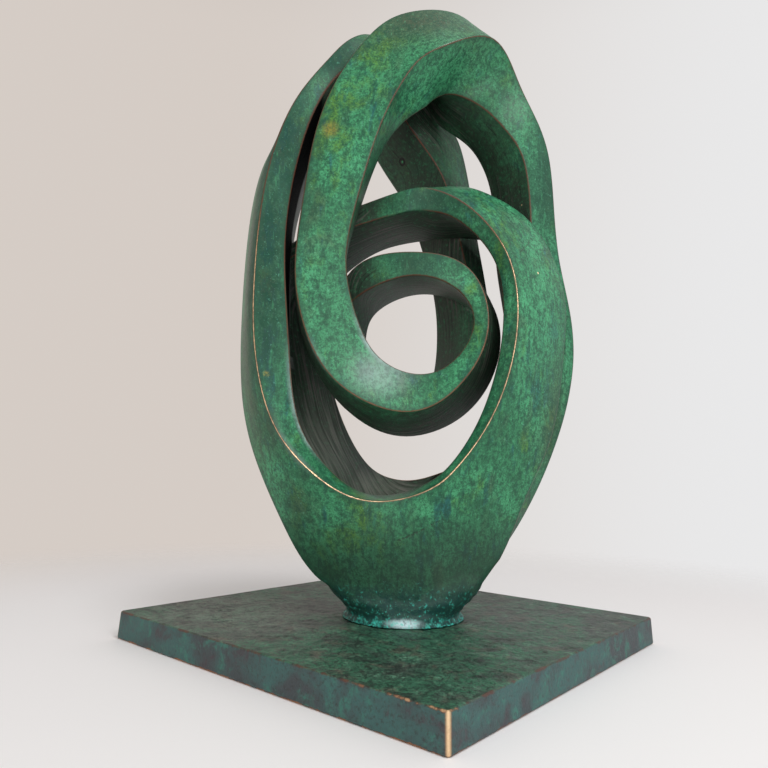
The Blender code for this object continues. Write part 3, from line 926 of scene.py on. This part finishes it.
def makeDarkBronze():
    finish, tree, shader, where = makeFinish("dark_bronze_patina", 0.5)
    ridge = addNode(tree, "ShaderNodeUVMap", uv_map="ridge").outputs[0]
    ridge = addNode(tree, "ShaderNodeSeparateXYZ", {0: ridge})
    fromRidge = product(tree, ridge.outputs[0], ridgeUnit)
    facing = addNode(tree, "ShaderNodeNewGeometry").outputs["Normal"]
    topness = ranged(tree, addNode(tree, "ShaderNodeSeparateXYZ", {0: facing}).outputs[2], 0.3, 0.8)
    place = addNode(tree, "ShaderNodeSeparateXYZ", {0: where})
    patterns = {name: grainOf(tree, where, *settings) for name, settings in platePatterns.items()}
    cloudy, grain = patterns["cloudy"], patterns["grain"]

    top = layColour(tree, ranged(tree, cloudy, 0.40, 0.60), plateTones["dull"], plateTones["green"])
    top = layTones(tree, top, topGround, patterns, plateTones)
    dusty = product(tree, ranged(tree, patchAt(tree, where, *plateFinish["dusty"]), 1.3, 0.2),
                    ranged(tree, patterns["clods"], 0.42, 0.56), 0.6)
    top = layColour(tree, dusty, top, plateTones["dust"])
    top = layTones(tree, top, topSpeckle, patterns, plateTones)
    side = layColour(tree, ranged(tree, cloudy, 0.40, 0.60), plateTones["slate"], plateTones["teal"])
    side = layTones(tree, side, sideGround, patterns, plateTones)
    colour = layColour(tree, topness, side, top)

    # worn edges: purple-brown oxide, a thread of copper, and polished upright corners
    edge = reckon(tree, "ADD", fromRidge, ranged(tree, patterns["broken"], 0.35, 0.65, -0.3, 0.7))
    drawnIn = product(tree, place.outputs[2], plateFinish["lean"])
    out = []
    for axis, half in enumerate(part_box("plinth_plate")[1].xy):
        reach = reckon(tree, "ADD", reckon(tree, "ABSOLUTE", place.outputs[axis]), drawnIn)
        out.append(ranged(tree, reach, *(half - inside for inside in plateFinish["polished"])))
    corner = product(tree, *out)
    colour = layColour(tree, ranged(tree, edge, 1.3, 0.6, 0, 0.8), colour, patina["oxide"])
    low = ranged(tree, place.outputs[2], *plateFinish["lowRim"])
    bared = reckon(tree, "SUBTRACT", edge, product(tree, low, 0.35))
    thread = product(tree, ranged(tree, bared, 0.55, 0.25),
                     reckon(tree, "SUBTRACT", 0.7, product(tree, out[0], 0.5)))
    rubbed = product(tree, ranged(tree, patchAt(tree, where, *plateFinish["rubbed"]), 1.2, 0.4),
                     ranged(tree, edge, 1.0, 0.4))
    thread = reckon(tree, "MAXIMUM", thread, product(tree, reckon(tree, "MAXIMUM", corner, rubbed), 0.9))
    bright = reckon(tree, "MAXIMUM", corner, product(tree, rubbed, 0.7))
    metal = layColour(tree, bright, patina["copper"], patina["gold"])
    colour = layColour(tree, thread, colour, metal)
    tree.links.new(colour, shader.inputs["Base Color"])
    tree.links.new(ranged(tree, grain, 0.3, 0.7, 0.40, 0.60), shader.inputs["Roughness"])
    tree.links.new(thread, shader.inputs["Metallic"])
    bumps = reckon(tree, "ADD", grain, product(tree, patterns["sand"], 0.7))
    bump = addNode(tree, "ShaderNodeBump", {"Strength": 0.7, "Distance": 0.0006, "Height": bumps})
    tree.links.new(bump.outputs[0], shader.inputs["Normal"])
    print("dark bronze mixed")
    return finish


studio = {
    "wallLeft": (0.665, 0.605, 0.560),
    "wallRight": (0.815, 0.815, 0.820),
    "rightwards": (0.76, 0.65, 0),
    "wallTurns": (-0.25, 0.55),     # how far rightwards the wall's colour starts to turn and has turned
    "ceiling": 0.50,                # how bright the room is overhead, as a share of the wall
    "ceilingStarts": (0.58, 0.97),  # how far up it starts to darken and is darkest
    "floor": (0.90, 0.895, 0.91),
    "floorRoughness": 0.7,
    "floorReach": 0.75,
    "floorSides": 96,
    "floorFades": (0.24, 0.62),     # distances from the middle between which the shelf melts into the wall
    # name: place, aimed at, size, watts, colour
    "lamps": {
        "window": ((0.62, -0.24, 0.58), (0, 0, 0.2), 0.30, 1.8, (1.0, 0.99, 0.97)),
        "front": ((0.66, -0.95, 0.14), (0, 0, 0.2), 0.5, 3.0, (0.97, 0.99, 1.0)),
        "overhead": ((0.36, -0.10, 1.10), (0, 0, 0.1), 0.20, 2.6, (1.0, 1.0, 1.0)),
    },
}


def makeStudio():
    world = bpy.data.worlds.new("pale wall")
    bpy.context.scene.world = world
    world.use_nodes = True
    tree = world.node_tree
    sky = addNode(tree, "ShaderNodeTexCoord").outputs["Generated"]
    rightness = addNode(tree, "ShaderNodeVectorMath", {0: sky, 1: studio["rightwards"]},
                        operation="DOT_PRODUCT").outputs["Value"]
    turned = ranged(tree, rightness, *studio["wallTurns"])
    wall = layColour(tree, turned, studio["wallLeft"], studio["wallRight"])
    background = tree.nodes["Background"]
    tree.links.new(wall, background.inputs["Color"])
    upness = addNode(tree, "ShaderNodeSeparateXYZ", {0: sky}).outputs[2]
    strength = ranged(tree, upness, *studio["ceilingStarts"], 1, studio["ceiling"])
    tree.links.new(strength, background.inputs["Strength"])
    for name, (place, aim, size, watts, colour) in studio["lamps"].items():
        data = bpy.data.lights.new(name, "AREA")
        data.size = size
        data.energy = watts
        data.color = colour
        thing = bpy.data.objects.new(name, data)
        thing.location = place
        thing.rotation_euler = (Vector(place) - Vector(aim)).to_track_quat("Z", "Y").to_euler()
        bpy.context.scene.collection.objects.link(thing)
    finish, tree, shader, where = makeFinish("pale_shelf", studio["floorRoughness"])
    shader.inputs["Base Color"].default_value = (*studio["floor"], 1)
    away = addNode(tree, "ShaderNodeVectorMath", {0: where}, operation="LENGTH").outputs["Value"]
    far, near = studio["floorFades"][1], studio["floorFades"][0]
    tree.links.new(ranged(tree, away, far, near), shader.inputs["Alpha"])
    bm = bmesh.new()
    bmesh.ops.create_circle(bm, cap_ends=True, segments=studio["floorSides"], radius=studio["floorReach"])
    makePiece("floor", bm, finish)
    bpy.context.scene.view_settings.view_transform = "Standard"
    print("studio ready")


makeCamera()
casting = castAsOne(makeGreenBronze())
workSurface(casting)
markHollows(casting)
casting.data.shade_smooth()
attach(casting, "root")
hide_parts("looped_band")

plateCasting = makePlate(makeDarkBronze())
plateCasting.data.shade_smooth()
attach(plateCasting, "root")
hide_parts("plinth_plate")

makeStudio()
